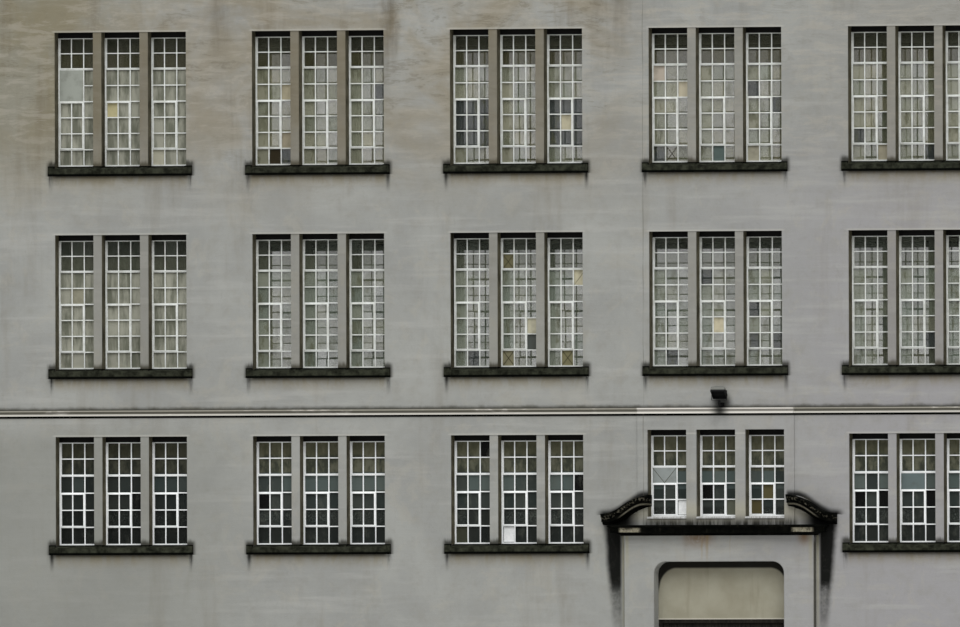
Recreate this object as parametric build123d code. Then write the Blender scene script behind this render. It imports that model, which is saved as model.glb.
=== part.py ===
from build123d import *
import os

os.makedirs("parts", exist_ok=True)

# Five bays of a rendered shoe factory, with tall steel windows in threes.
# Sizes in millimetres. X runs along the front, the front faces -Y, Z is up.
# The origin is the middle of the base, on the ground at the entrance.

# Plan
bay_count = 5
bay_pitch = 4300
end_pier = 1435
building_depth = 17900
wall_thick = 450
party_thick = 350

# Levels
entrance_floor = 120
ground_floor = 2790
first_floor = 6470
storey_height = 4270
parapet_rise = 890
slab_thick = 300
coping_height = 110
coping_overhang = 60

# Window groups: three lights and two mullions over one stone sill
lights_per_group = 3
light_width = 835
mullion_width = 180
mullion_setback = 15
ground_sill_rise = 950
upper_sill_rise = 980
ground_light_height = 2280
upper_light_height = 2820

# Sills
sill_height = 210
sill_projection = 100
sill_horn = 127
sill_fall = 60
sill_seat = 45
drip_inset = 30
drip_width = 22
drip_depth = 12

# Steel window frames
frame_setback = 310
frame_depth = 75
frame_face = 28
head_face = 115
transom_face = 24
transom_depth = 45
post_face = 24
bar_face = 22
glass_thick = 6
pane_columns = 3

# String course at first floor level
string_top = 6585
string_height = 130
string_projection = 60
string_fillet = 38
string_lower_projection = 42
string_groove_projection = 27
string_cyma = 12
string_fall = 8

# Entrance
entrance_bay = 3
recess_width = 2800
recess_head = 3350
recess_radius = 250
surround_shift = 90
surround_width = 4100
surround_projection = 150
surround_arris = 12
infill_setback = 240
cornice_bottom = 3895
cornice_height = 225
cornice_overhang = 295
door_head = 2140
door_frame_face = 76
door_frame_depth = 100
door_frame_inset = 255
door_leaf_thick = 50
door_gap = 6
door_panel_depth = 12
door_stile = 130
door_bottom_rail = 210
door_lock_rail_share = 0.42
hinge_end = 250
hinge_radius = 12
pin_radius = 8
pin_clearance = 0.3
hinge_offset = 16
hinge_height = 120
hinge_strap = 70
hinge_lug = 45
hinges_per_leaf = 3

# Entrance windows and the shallow panel round them
entrance_light_width = 840
entrance_mullion_width = 216
entrance_sill_level = 4300
entrance_light_height = 1815
entrance_board_thick = 45
entrance_board_nose = 25
entrance_board_fall = 10
panel_width = 3380
panel_projection = 30

# Broken curved pediment
pediment_overrun = 173
pediment_inner_top = 4753
pediment_turn_back = 418
pediment_turn_z = 4497
pediment_start_slope = -8
pediment_thick = 240
pediment_projection = 300

# Sections of the mouldings, as shares of how far they stand out and how deep they are.
# Each has a run of points, a curve through three points, a run, a curve and a last run.
cornice_section = (
    [(0, 0), (0.18, 0), (0.22, 0.12)],
    [(0.22, 0.12), (0.36, 0.21), (0.62, 0.27)],
    [(0.62, 0.27), (0.80, 0.27), (0.80, 0.62), (0.84, 0.68)],
    [(0.84, 0.68), (0.88, 0.76), (0.97, 0.84)],
    [(0.97, 0.84), (1, 0.84), (1, 0.94), (0, 1), (0, 0)],
)
pediment_section = (
    [(0, 0), (0, 1), (0.12, 1), (0.14, 0.97)],
    [(0.14, 0.97), (0.32, 0.88), (0.42, 0.74)],
    [(0.42, 0.74), (0.46, 0.74), (0.46, 0.70), (0.74, 0.70), (0.74, 0.46)],
    [(0.74, 0.46), (0.86, 0.40), (0.93, 0.26)],
    [(0.93, 0.26), (1, 0.26), (1, 0), (0, 0)],
)

# Copings: how far down and how far in the weathered top is cut, as shares of the height
coping_fall = 0.35
coping_slope = 0.9

# Floodlight on the wall over the string course
lamp_aside = 130
lamp_width = 300
lamp_height = 290
lamp_depth = 200
lamp_rim = 12
lamp_pocket = 40
lamp_back_slope = 0.45
lamp_tilt = 55
lamp_rise = 330
lamp_arm_thick = 6
lamp_arm_width = 36
lamp_arm_gap = 8
lamp_arm_end = 20
lamp_clear_below = 45
lamp_pin_radius = 6
lamp_neck_radius = 26
lamp_neck_bar = 40
lamp_neck_height = 110
lamp_stand_off = 230
lamp_plate_width = 110
lamp_plate_height = 80
lamp_plate_thick = 10
lens_thick = 8

# Worked out from the values above
group_width = lights_per_group * light_width + (lights_per_group - 1) * mullion_width
building_width = (bay_count - 1) * bay_pitch + group_width + 2 * end_pier
half_width = building_width / 2
half_depth = building_depth / 2
second_floor = first_floor + storey_height
roof_level = second_floor + storey_height
parapet_top = roof_level + parapet_rise
ground_sill = ground_floor + ground_sill_rise
first_sill = first_floor + upper_sill_rise
second_sill = second_floor + upper_sill_rise
ground_head = ground_sill + ground_light_height
first_head = first_sill + upper_light_height
second_head = second_sill + upper_light_height
entrance_mullions = (lights_per_group - 1) * entrance_mullion_width
entrance_group_width = lights_per_group * entrance_light_width + entrance_mullions
entrance_head = entrance_sill_level + entrance_light_height
cornice_top = cornice_bottom + cornice_height
string_bottom = string_top - string_height
pediment_half_span = surround_width / 2 + cornice_overhang + pediment_overrun
pediment_turn_x = pediment_half_span - pediment_turn_back
pick_near = 1
FRONT = -1
BACK = 1

# Rows of panes from the sill up; the casement band opens and has its post
UPPER_BANDS = [(1, False), (3, True), (2, False), (2, False)]
GROUND_BANDS = [(1, False), (2, True), (1, False), (2, False)]
ENTRANCE_BANDS = [(2, True), (1, False), (2, False)]


def bay_centre(bay):
    return (bay - (bay_count - 1) / 2) * bay_pitch


entrance_x = bay_centre(entrance_bay)
surround_x = entrance_x + surround_shift


def block(x0, x1, y0, y1, z0, z1):
    size = Box(abs(x1 - x0), abs(y1 - y0), abs(z1 - z0))
    return Pos((x0 + x1) / 2, (y0 + y1) / 2, (z0 + z1) / 2) * size


def wall_y(side, inset):
    """Y of a plane that lies inset behind the outer face of the front or back wall."""
    return side * (half_depth - inset)


def wall_block(side, x0, x1, inset0, inset1, z0, z1):
    return block(x0, x1, wall_y(side, inset0), wall_y(side, inset1), z0, z1)


def along_x(side, x0, x1, outline):
    """Extrudes an outline of (inset, z) points from x0 to x1."""
    points = [(x0, wall_y(side, inset), z) for inset, z in outline]
    face = make_face(Polyline(points, close=True))
    return extrude(face, amount=x1 - x0, dir=(1, 0, 0))


def save(name, solids):
    shape = solids if isinstance(solids, list) else [solids]
    export_step(Compound(children=shape) if len(shape) > 1 else shape[0], f"parts/{name}.step")


def is_entrance(side, bay, sill):
    return side == FRONT and bay == entrance_bay and sill == ground_sill


def light_starts(centre, width, mullion):
    """Left edge of each light in a group about a centre."""
    span = lights_per_group * width + (lights_per_group - 1) * mullion
    return [centre - span / 2 + i * (width + mullion) for i in range(lights_per_group)]


def wall_bands(side):
    """Level bands of wall between the window rows, one over the other."""

    def band(x0, x1, z0, z1):
        return wall_block(side, x0, x1, 0, wall_thick, z0, z1)

    base_top = ground_sill - sill_height
    middle = band(-half_width, half_width, ground_head, first_sill - sill_height)
    if side == FRONT:
        left_jamb = surround_x - recess_width / 2
        right_jamb = surround_x + recess_width / 2
        base = [band(-half_width, left_jamb, 0, base_top), band(right_jamb, half_width, 0, base_top)]
        half = entrance_group_width / 2
        middle -= band(entrance_x - half, entrance_x + half, ground_head, entrance_head)
    else:
        base = [band(-half_width, half_width, 0, base_top)]
    upper = band(-half_width, half_width, first_head, second_sill - sill_height)
    parapet = band(-half_width, half_width, second_head, parapet_top)
    return [*base, middle, upper, parapet]


def wall_piers(side):
    """Piers between the window groups, from the band below up to the heads."""
    piers = []
    for sill, head in ((ground_sill, ground_head), (first_sill, first_head), (second_sill, second_head)):
        left = -half_width
        for bay in range(bay_count):
            width = entrance_group_width if is_entrance(side, bay, sill) else group_width
            right = bay_centre(bay) - width / 2
            piers.append(wall_block(side, left, right, 0, wall_thick, sill - sill_height, head))
            left = bay_centre(bay) + width / 2
        piers.append(wall_block(side, left, half_width, 0, wall_thick, sill - sill_height, head))
    return piers


def wall_mullions(side):
    """Flat mullions that stand on the sills, hardly set back from the wall."""
    mullions = []
    for sill, head in ((ground_sill, ground_head), (first_sill, first_head), (second_sill, second_head)):
        for bay in range(bay_count):
            if is_entrance(side, bay, sill):
                starts = light_starts(entrance_x, entrance_light_width, entrance_mullion_width)
                for x in starts[1:]:
                    foot = entrance_sill_level - entrance_board_thick
                    mullions.append(
                        wall_block(side, x - entrance_mullion_width, x, 0, wall_thick, foot, entrance_head)
                    )
            else:
                for x in light_starts(bay_centre(bay), light_width, mullion_width)[1:]:
                    mullions.append(
                        wall_block(side, x - mullion_width, x, mullion_setback, wall_thick, sill, head)
                    )
    return mullions


def sill_outline(top, seat):
    """Section of a sill: weathered from the frame to the nose, level where something stands on it."""
    bottom = top - sill_height
    nose_top = top - sill_fall
    outline = [(wall_thick, bottom), (wall_thick, top)]
    if seat:
        fall_at_seat = sill_fall * (frame_setback + sill_seat) / (frame_setback + sill_projection)
        outline += [(-sill_seat, top), (-sill_seat, top - fall_at_seat)]
    else:
        outline += [(frame_setback, top)]
    outline += [(-sill_projection, nose_top), (-sill_projection, bottom)]
    drip = -sill_projection + drip_inset
    inner = drip + drip_width
    roof = bottom + drip_depth
    return [*outline, (drip, bottom), (drip, roof), (inner, roof), (inner, bottom)]


def stone_sill(side, centre, top):
    """One long sill: weathered between level seats for the mullions and the ends."""
    lights = light_starts(centre, light_width, mullion_width)
    sill = along_x(side, lights[0], lights[0] + light_width, sill_outline(top, False))
    for x in lights[1:]:
        sill += along_x(side, x - mullion_width, x, sill_outline(top, True))
        sill += along_x(side, x, x + light_width, sill_outline(top, False))
    half = group_width / 2
    for x0, x1 in ((centre - half - sill_horn, centre - half), (centre + half, centre + half + sill_horn)):
        sill += wall_block(side, x0, x1, -sill_projection, 0, top - sill_height, top)
    return sill


def wall_sills(side):
    sills = []
    for sill in (ground_sill, first_sill, second_sill):
        for bay in range(bay_count):
            if not is_entrance(side, bay, sill):
                sills.append(stone_sill(side, bay_centre(bay), sill))
    return sills


def band_openings(width, height, bands):
    """Clear openings of a frame, as (x0, x1, z0, z1) from its lower left corner."""
    inner = width - 2 * frame_face
    pane_width = (inner - (pane_columns - 1) * bar_face) / pane_columns
    bars = sum(rows - 1 for rows, opening in bands)
    rows_in_all = sum(rows for rows, opening in bands)
    clear = height - frame_face - head_face - (len(bands) - 1) * transom_face - bars * bar_face
    pane_height = clear / rows_in_all
    openings = []
    z = frame_face
    for rows, opening in bands:
        top = z + rows * pane_height + (rows - 1) * bar_face
        if opening:
            post = frame_face + (pane_columns - 1) * (pane_width + bar_face) - bar_face / 2
            openings.append((frame_face, post - post_face / 2, z, top))
            openings.append((post + post_face / 2, width - frame_face, z, top))
        else:
            openings.append((frame_face, width - frame_face, z, top))
        z = top + transom_face
    return openings


def window_frame(side, x, z, width, height, bands):
    """Outer frame, transoms and casement post of one light."""
    ring = wall_block(side, x, x + width, frame_setback, frame_setback + frame_depth, z, z + height)
    behind = frame_setback + transom_depth
    ring -= wall_block(
        side,
        x + frame_face,
        x + width - frame_face,
        behind,
        frame_setback + frame_depth,
        z + frame_face,
        z + height - head_face,
    )
    for x0, x1, z0, z1 in band_openings(width, height, bands):
        ring -= wall_block(side, x + x0, x + x1, frame_setback, behind, z + z0, z + z1)
    return ring


def window_glass(side, x, z, width, height):
    """One sheet of glass behind the transoms, inside the outer frame."""
    behind = frame_setback + transom_depth
    return wall_block(
        side,
        x + frame_face,
        x + width - frame_face,
        behind,
        behind + glass_thick,
        z + frame_face,
        z + height - head_face,
    )


def row_of_windows(side, sill, height, bands):
    """Frames and glass of one storey of one wall."""
    frames = []
    glass = []
    for bay in range(bay_count):
        if is_entrance(side, bay, sill):
            for x in light_starts(entrance_x, entrance_light_width, entrance_mullion_width):
                at = (side, x, entrance_sill_level, entrance_light_width, entrance_light_height)
                frames.append(window_frame(*at, ENTRANCE_BANDS))
                glass.append(window_glass(*at))
        else:
            for x in light_starts(bay_centre(bay), light_width, mullion_width):
                at = (side, x, sill, light_width, height)
                frames.append(window_frame(*at, bands))
                glass.append(window_glass(*at))
    return frames, glass


def recess_shape(y0, y1, top, bottom):
    """The recess as a solid, with its two upper corners rounded."""
    body = block(surround_x - recess_width / 2, surround_x + recess_width / 2, y0, y1, bottom, top)
    upper = body.edges().filter_by(Axis.Y).group_by(Axis.Z)[-1]
    return fillet(upper, recess_radius)


def wall_over_entrance():
    """Wall between the recess and the entrance windows."""
    half = entrance_group_width / 2
    base_top = ground_sill - sill_height
    spring = recess_head - recess_radius
    lower = wall_block(
        FRONT,
        surround_x - recess_width / 2,
        surround_x + recess_width / 2,
        0,
        wall_thick,
        spring,
        base_top,
    )
    foot = entrance_sill_level - entrance_board_thick
    upper = wall_block(FRONT, entrance_x - half, entrance_x + half, 0, wall_thick, base_top, foot)
    hole = recess_shape(wall_y(FRONT, 0), wall_y(FRONT, wall_thick), recess_head, 0)
    return lower + upper - hole


def surround_jambs():
    spring = recess_head - recess_radius
    jambs = []
    for hand in (-1, 1):
        inner = surround_x + hand * recess_width / 2
        outer = surround_x + hand * surround_width / 2
        jamb = wall_block(FRONT, inner, outer, -surround_projection, 0, 0, spring)
        front = jamb.edges().filter_by(Axis.Z).group_by(Axis.Y)[0]
        arris = front.sort_by(Axis.X)[-1 if hand < 0 else 0]
        jambs.append(chamfer(arris, surround_arris))
    return jambs


def surround_head():
    spring = recess_head - recess_radius
    head = wall_block(
        FRONT,
        surround_x - surround_width / 2,
        surround_x + surround_width / 2,
        -surround_projection,
        0,
        spring,
        cornice_bottom,
    )
    head -= recess_shape(wall_y(FRONT, -surround_projection), wall_y(FRONT, 0), recess_head, 0)
    front_y = wall_y(FRONT, -surround_projection)
    opening_edges = [
        edge
        for edge in head.edges()
        if abs(edge.center().Y - front_y) < pick_near
        and edge.center().Z < recess_head + pick_near
        and abs(edge.center().X - surround_x) < recess_width / 2 - pick_near
    ]
    return chamfer(opening_edges, surround_arris)


def recess_infill():
    """Plain rendered wall over the doors, set back in the recess."""
    hole = recess_shape(wall_y(FRONT, infill_setback), wall_y(FRONT, wall_thick), recess_head, door_head)
    return hole


def entrance_step():
    return wall_block(
        FRONT,
        surround_x - recess_width / 2,
        surround_x + recess_width / 2,
        -surround_projection,
        wall_thick,
        0,
        entrance_floor,
    )


def section_outline(section, first_size, second_size):
    """Closed outline of a moulding from its shares: runs of points with curves between them."""
    edges = []
    for i, shares in enumerate(section):
        points = [(a * first_size, b * second_size) for a, b in shares]
        curved = i % 2 == 1
        piece = ThreePointArc(*points) if curved else Polyline(*points)
        edges += piece.edges()
    return Wire(edges)


def entrance_cornice():
    """Moulded cornice that breaks round the surround, with mitred returns."""
    half = surround_width / 2
    face_y = wall_y(FRONT, -surround_projection)
    back_y = wall_y(FRONT, 0)
    path = Polyline(
        (surround_x - half, back_y, cornice_bottom),
        (surround_x - half, face_y, cornice_bottom),
        (surround_x + half, face_y, cornice_bottom),
        (surround_x + half, back_y, cornice_bottom),
    )
    outline = section_outline(cornice_section, cornice_overhang, cornice_height)
    start = Plane(origin=(surround_x - half, back_y, cornice_bottom), x_dir=(-1, 0, 0), z_dir=(0, 1, 0))
    profile = start * make_face(outline)
    moulding = sweep(profile, path=path, transition=Transition.RIGHT)
    core = block(surround_x - half, surround_x + half, face_y, back_y, cornice_bottom, cornice_top)
    return moulding + core


def pediment(hand):
    """One side of the broken pediment: a moulding on a swan-neck curve."""
    end_top = cornice_top + pediment_thick
    y = wall_y(FRONT, 0)
    inner = entrance_group_width / 2
    start = Vector(surround_x + hand * inner, y, pediment_inner_top)
    turn = Vector(surround_x + hand * pediment_turn_x, y, pediment_turn_z)
    end = Vector(surround_x + hand * pediment_half_span, y, end_top)
    slope = Vector(hand, 0, 0).rotate(Axis.Y, -hand * pediment_start_slope)
    crown_arc = Edge.make_tangent_arc(start, slope, turn)
    neck_arc = Edge.make_tangent_arc(turn, crown_arc % 1, end)
    path = Wire([crown_arc, neck_arc])
    down = Vector(0, 1, 0).cross((crown_arc % 0) * hand)
    outline = section_outline(pediment_section, pediment_thick, pediment_projection)
    place = Plane(origin=start, x_dir=down, z_dir=down.cross(Vector(0, -1, 0)))
    moulding = sweep(place * make_face(outline), path=path)
    overrun = surround_x + hand * (inner - pediment_thick)
    lowest = pediment_inner_top - 2 * pediment_thick
    highest = pediment_inner_top + pediment_thick
    return moulding - block(overrun, start.X, y - pediment_projection - pick_near, y, lowest, highest)


def entrance_panel(left, right):
    """Shallow raised panel round the entrance windows, fitted round the pediment."""
    half = panel_width / 2
    panel = wall_block(
        FRONT,
        entrance_x - half,
        entrance_x + half,
        -panel_projection,
        0,
        cornice_top,
        string_bottom,
    )
    foot = entrance_sill_level - entrance_board_thick
    for x in light_starts(entrance_x, entrance_light_width, entrance_mullion_width):
        panel -= wall_block(
            FRONT, x, x + entrance_light_width, -panel_projection, 0, foot, entrance_head
        )
    return panel - left - right


def entrance_boards():
    """Timber sill boards of the entrance windows."""
    boards = []
    top = entrance_sill_level
    for x in light_starts(entrance_x, entrance_light_width, entrance_mullion_width):
        outline = [
            (frame_setback + frame_depth, top - entrance_board_thick),
            (frame_setback + frame_depth, top),
            (frame_setback, top),
            (-panel_projection - entrance_board_nose, top - entrance_board_fall),
            (-panel_projection - entrance_board_nose, top - entrance_board_thick),
        ]
        boards.append(along_x(FRONT, x, x + entrance_light_width, outline))
    return boards


def door_posts():
    posts = []
    for hand in (-1, 1):
        inner = surround_x + hand * (recess_width / 2 - door_frame_face)
        outer = surround_x + hand * recess_width / 2
        posts.append(
            wall_block(
                FRONT,
                inner,
                outer,
                door_frame_inset,
                door_frame_inset + door_frame_depth,
                entrance_floor,
                door_head,
            )
        )
    return posts


def door_top_rail():
    half = recess_width / 2 - door_frame_face
    return wall_block(
        FRONT,
        surround_x - half,
        surround_x + half,
        door_frame_inset,
        door_frame_inset + door_frame_depth,
        door_head - door_frame_face,
        door_head,
    )


def hinge_levels():
    low = entrance_floor + hinge_end
    high = door_head - door_frame_face - hinge_end
    return [low + i * (high - low) / (hinges_per_leaf - 1) for i in range(hinges_per_leaf)]


def hinge_axis(hand):
    """X and Y of the hinge pins of one leaf."""
    x = surround_x + hand * (recess_width / 2 - door_frame_face)
    return x, wall_y(FRONT, door_frame_inset + door_frame_depth + hinge_offset)


def door_leaf(hand):
    """One framed leaf with two sunk panels and its hinge knuckles."""
    face = door_frame_inset + door_frame_depth
    near = surround_x + hand * door_gap / 2
    far = surround_x + hand * (recess_width / 2 - door_frame_face - door_gap)
    low = entrance_floor + door_gap
    high = door_head - door_frame_face - door_gap
    leaf = wall_block(FRONT, near, far, face - door_leaf_thick, face, low, high)
    middle = low + (high - low) * door_lock_rail_share
    for z0, z1 in ((low + door_bottom_rail, middle), (middle + door_stile, high - door_stile)):
        panel = wall_block(
            FRONT,
            near + hand * door_stile,
            far - hand * door_stile,
            face - door_leaf_thick,
            face - door_leaf_thick + door_panel_depth,
            z0,
            z1,
        )
        leaf -= panel
    x, y = hinge_axis(hand)
    third = hinge_height / 3
    for z in hinge_levels():
        knuckle = Pos(x, y, z) * Cylinder(hinge_radius, third - 2 * pin_clearance)
        strap = block(
            x - hand * hinge_strap,
            x,
            y - hinge_radius / 2,
            wall_y(FRONT, face),
            z - third / 2 + pin_clearance,
            z + third / 2 - pin_clearance,
        )
        bore = Pos(x, y, z) * Cylinder(pin_radius + pin_clearance, hinge_height)
        leaf += knuckle + strap
        leaf -= bore
    return leaf


def door_hinges():
    """Fixed halves of the hinges: two lugs on the frame and the pin through them."""
    hinges = []
    third = hinge_height / 3
    for hand in (-1, 1):
        x, y = hinge_axis(hand)
        back = wall_y(FRONT, door_frame_inset + door_frame_depth)
        for z in hinge_levels():
            pin = Pos(x, y, z) * Cylinder(pin_radius, hinge_height)
            for level in (z - third, z + third):
                pin += Pos(x, y, level) * Cylinder(hinge_radius, third)
                pin += block(x, x + hand * hinge_lug, back, y, level - third / 2, level + third / 2)
            hinges.append(pin)
    return hinges


def string_course(side):
    """Two fillets with a sunk line between them, stepped forward over the entrance panel."""
    out = -string_projection
    lower = -string_lower_projection
    groove = -string_groove_projection
    outline = [
        (0, string_bottom),
        (lower, string_bottom),
        (lower, string_bottom + string_fillet),
        (groove, string_bottom + string_fillet),
        (groove, string_top - string_fillet - string_cyma),
        (out, string_top - string_fillet),
        (out, string_top - string_fall),
        (0, string_top),
    ]
    course = along_x(side, -half_width, half_width, outline)
    if side == FRONT:
        half = panel_width / 2
        forward = [(inset - panel_projection if inset < 0 else 0, z) for inset, z in outline]
        course += along_x(side, entrance_x - half, entrance_x + half, forward)
    return course


def coping_run(x0, x1, y0, y1, along):
    """Saddleback coping stone course with a weathered top."""
    low = parapet_top
    body = block(x0, x1, y0, y1, low, low + coping_height)
    top_edges = body.faces().sort_by(Axis.Z)[-1].edges().filter_by(along)
    return chamfer(top_edges, coping_height * coping_fall, coping_height * coping_slope)


def copings():
    reach = coping_overhang
    long_runs = []
    for side in (FRONT, BACK):
        outer = wall_y(side, -reach)
        inner = wall_y(side, wall_thick + reach)
        long_runs.append(coping_run(-half_width - reach, half_width + reach, outer, inner, Axis.X))
    end_runs = []
    y = half_depth - wall_thick - reach
    for hand in (-1, 1):
        outer = hand * (half_width + reach)
        inner = hand * (half_width - party_thick - reach)
        end_runs.append(coping_run(outer, inner, -y, y, Axis.Y))
    return long_runs, end_runs


def slab(top, thick):
    x = half_width - party_thick
    y = half_depth - wall_thick
    return block(-x, x, -y, y, top - thick, top)


def party_walls():
    walls = []
    y = half_depth - wall_thick
    for hand in (-1, 1):
        walls.append(block(hand * half_width, hand * (half_width - party_thick), -y, y, 0, parapet_top))
    return walls


def lamp_place():
    """Middle of the lamp's pivots."""
    return Pos(entrance_x + lamp_aside, wall_y(FRONT, -lamp_stand_off), string_top + lamp_rise)


def lamp_housing():
    """Housing that narrows to its back, tilted down, with a rim round the lens and pivot pins."""
    shell = Box(lamp_width, lamp_depth, lamp_height)
    back_edges = shell.faces().sort_by(Axis.Y)[-1].edges()
    shell = chamfer(back_edges, lamp_depth * lamp_back_slope)
    inner_width = lamp_width - 2 * lamp_rim
    inner_height = lamp_height - 2 * lamp_rim
    mouth = -lamp_depth / 2
    shell -= Pos(0, mouth + lamp_pocket / 2, 0) * Box(inner_width, lamp_pocket, inner_height)
    pin_length = lamp_arm_gap + 2 * lamp_arm_thick
    for hand in (-1, 1):
        at = Pos(hand * (lamp_width + pin_length) / 2, 0, 0)
        shell += at * Rot(0, 90, 0) * Cylinder(lamp_pin_radius, pin_length)
    seat = Pos(0, mouth + lamp_pocket - lens_thick / 2, 0)
    lens = seat * Box(inner_width, lens_thick, inner_height)
    turn = lamp_place() * Rot(lamp_tilt, 0, 0)
    return turn * shell, turn * lens


def lamp_bracket():
    """U bracket with its neck and a plate on the wall."""
    place = lamp_place()
    half = lamp_width / 2 + lamp_arm_gap
    drop = lamp_height / 2 + lamp_clear_below
    across = 2 * half + 2 * lamp_arm_thick
    bracket = place * Pos(0, 0, -drop) * Box(across, lamp_arm_width, lamp_arm_thick)
    arm_height = drop + lamp_arm_end + lamp_arm_thick
    for hand in (-1, 1):
        side = place * Pos(hand * (half + lamp_arm_thick / 2), 0, 0)
        arm = Box(lamp_arm_thick, lamp_arm_width, arm_height)
        bracket += side * Pos(0, 0, (lamp_arm_end - drop) / 2) * arm
        bore = Cylinder(lamp_pin_radius + pin_clearance, 4 * lamp_arm_thick)
        bracket -= side * Rot(0, 90, 0) * bore
    x = entrance_x + lamp_aside
    y = wall_y(FRONT, -lamp_stand_off)
    face = wall_y(FRONT, 0)
    neck_top = string_top + lamp_rise - drop
    bracket += Pos(x, y, neck_top - lamp_neck_height / 2) * Cylinder(lamp_neck_radius, lamp_neck_height)
    bar = lamp_neck_bar / 2
    knee = neck_top - lamp_neck_height + bar
    bracket += block(x - bar, x + bar, y, face, knee - bar, knee + bar)
    wide, high = lamp_plate_width / 2, lamp_plate_height / 2
    bracket += block(x - wide, x + wide, face - lamp_plate_thick, face, knee - high, knee + high)
    return bracket


def build_walls():
    for side, name in ((FRONT, "front"), (BACK, "back")):
        save(f"{name}_wall_bands", wall_bands(side))
        save(f"{name}_wall_piers", wall_piers(side))
        save(f"{name}_mullions", wall_mullions(side))
        save(f"{name}_sills", wall_sills(side))
        save(f"{name}_string_course", string_course(side))
    save("party_walls", party_walls())
    long_runs, end_runs = copings()
    save("coping_front_and_back", long_runs)
    save("coping_ends", end_runs)


def build_floors():
    save("entrance_floor", slab(entrance_floor, entrance_floor))
    save("ground_floor", slab(ground_floor, slab_thick))
    save("first_floor", slab(first_floor, slab_thick))
    save("second_floor", slab(second_floor, slab_thick))
    save("roof_slab", slab(roof_level, slab_thick))


def build_windows():
    rows = (
        ("ground", ground_sill, ground_light_height, GROUND_BANDS),
        ("first", first_sill, upper_light_height, UPPER_BANDS),
        ("second", second_sill, upper_light_height, UPPER_BANDS),
    )
    back_frames = []
    back_glass = []
    for name, sill, height, bands in rows:
        frames, glass = row_of_windows(FRONT, sill, height, bands)
        save(f"front_window_frames_{name}", frames)
        save(f"front_window_glass_{name}", glass)
        frames, glass = row_of_windows(BACK, sill, height, bands)
        back_frames += frames
        back_glass += glass
    save("back_window_frames", back_frames)
    save("back_window_glass", back_glass)


def build_entrance():
    left = pediment(-1)
    right = pediment(1)
    save("wall_over_entrance", wall_over_entrance())
    save("entrance_jambs", surround_jambs())
    save("entrance_head", surround_head())
    save("entrance_cornice", entrance_cornice())
    save("pediment_left", left)
    save("pediment_right", right)
    save("entrance_panel", entrance_panel(left, right))
    save("entrance_sill_boards", entrance_boards())
    save("recess_infill", recess_infill())
    save("entrance_step", entrance_step())
    save("door_posts", door_posts())
    save("door_top_rail", door_top_rail())
    save("door_hinges", door_hinges())
    save("door_left", door_leaf(-1))
    save("door_right", door_leaf(1))


def build_lamp():
    housing, lens = lamp_housing()
    save("floodlight_housing", housing)
    save("floodlight_lens", lens)
    save("floodlight_bracket", lamp_bracket())


build_walls()
build_floors()
build_windows()
build_entrance()
build_lamp()
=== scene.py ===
import math
import random
from types import SimpleNamespace

import bmesh
import bpy
from mathutils import Matrix, Vector


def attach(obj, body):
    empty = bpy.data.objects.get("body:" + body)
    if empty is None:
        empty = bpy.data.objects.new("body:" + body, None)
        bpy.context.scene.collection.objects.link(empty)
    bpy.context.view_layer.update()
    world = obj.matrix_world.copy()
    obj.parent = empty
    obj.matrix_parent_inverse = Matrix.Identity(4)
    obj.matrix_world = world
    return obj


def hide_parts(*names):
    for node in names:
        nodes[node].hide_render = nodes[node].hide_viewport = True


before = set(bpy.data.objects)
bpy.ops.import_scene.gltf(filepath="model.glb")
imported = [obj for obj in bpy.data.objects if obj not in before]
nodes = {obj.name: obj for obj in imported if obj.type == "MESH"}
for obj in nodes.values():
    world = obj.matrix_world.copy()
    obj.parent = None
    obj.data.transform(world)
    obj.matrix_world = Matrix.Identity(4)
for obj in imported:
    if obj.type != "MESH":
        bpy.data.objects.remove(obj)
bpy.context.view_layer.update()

# Sizes of the front, in metres, the same as the model's own
bay_pitch = 4.300
bay_count = 5
last_bay = (bay_count - 1) / 2
bays = [(i - last_bay) * bay_pitch for i in range(bay_count)]
entrance_bay = 3
entrance_x = bays[entrance_bay]
light_width = 0.835
mullion_width = 0.180
group_half = (3 * light_width + 2 * mullion_width) / 2
entrance_light_width = 0.840
entrance_mullion_width = 0.216
sill_horn = 0.127
sill_height = 0.210
frame_setback = 0.310
frame_face = 0.028
head_face = 0.115
transom_face = 0.024
transom_depth = 0.045
bar_face = 0.022
post_face = 0.024
sash_face = 0.020
sash_proud = 0.010
bar_front, bar_back = 0.006, 0.030
pane_front, pane_back = 0.0005, 0.0035
pane_lean = 0.0012
front_y = -8.950
back_y = 8.950
end_wall_inner = 11.117
end_wall_outer = 11.467
roof_top = 15.000
ground_sill, first_sill, second_sill = 3.740, 7.450, 11.720
ground_height, upper_height = 2.280, 2.820
entrance_sill, entrance_height = 4.300, 1.815
string_top = 6.585
string_foot = string_top - 0.130
cornice_top = 4.120
cornice_foot = cornice_top - 0.225
surround_x = entrance_x + 0.090
lamp_x = entrance_x + 0.130
lamp_foot = 6.680
lamp_lit_top_low = 6.940
recess_half = 1.400
recess_head = 3.350
soffit_depth = 0.150
shade_radius = 0.300
surround_half = 2.050
pediment_start, pediment_end = 1.620, 2.450
pediment_inner_top = 4.753
kneeler_top = 4.360

# Wall that belongs to the entrance windows: half its width, and its top
entrance_zone_half = 2.0
entrance_zone_top = 6.3

sill_tops = (ground_sill, first_sill, second_sill)
sill_feet = tuple(top - sill_height for top in sill_tops)
window_tops = (ground_sill + ground_height, first_sill + upper_height, second_sill + upper_height)

# A pane whose random pick lies under this is a dark one
dark_pick = 0.04

# Rows of panes from the sill up, and whether that band is an opening casement
UPPER = [(1, False), (3, True), (2, False), (2, False)]
GROUND = [(1, False), (2, True), (1, False), (2, False)]
ENTRANCE = [(2, True), (1, False), (2, False)]


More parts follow.
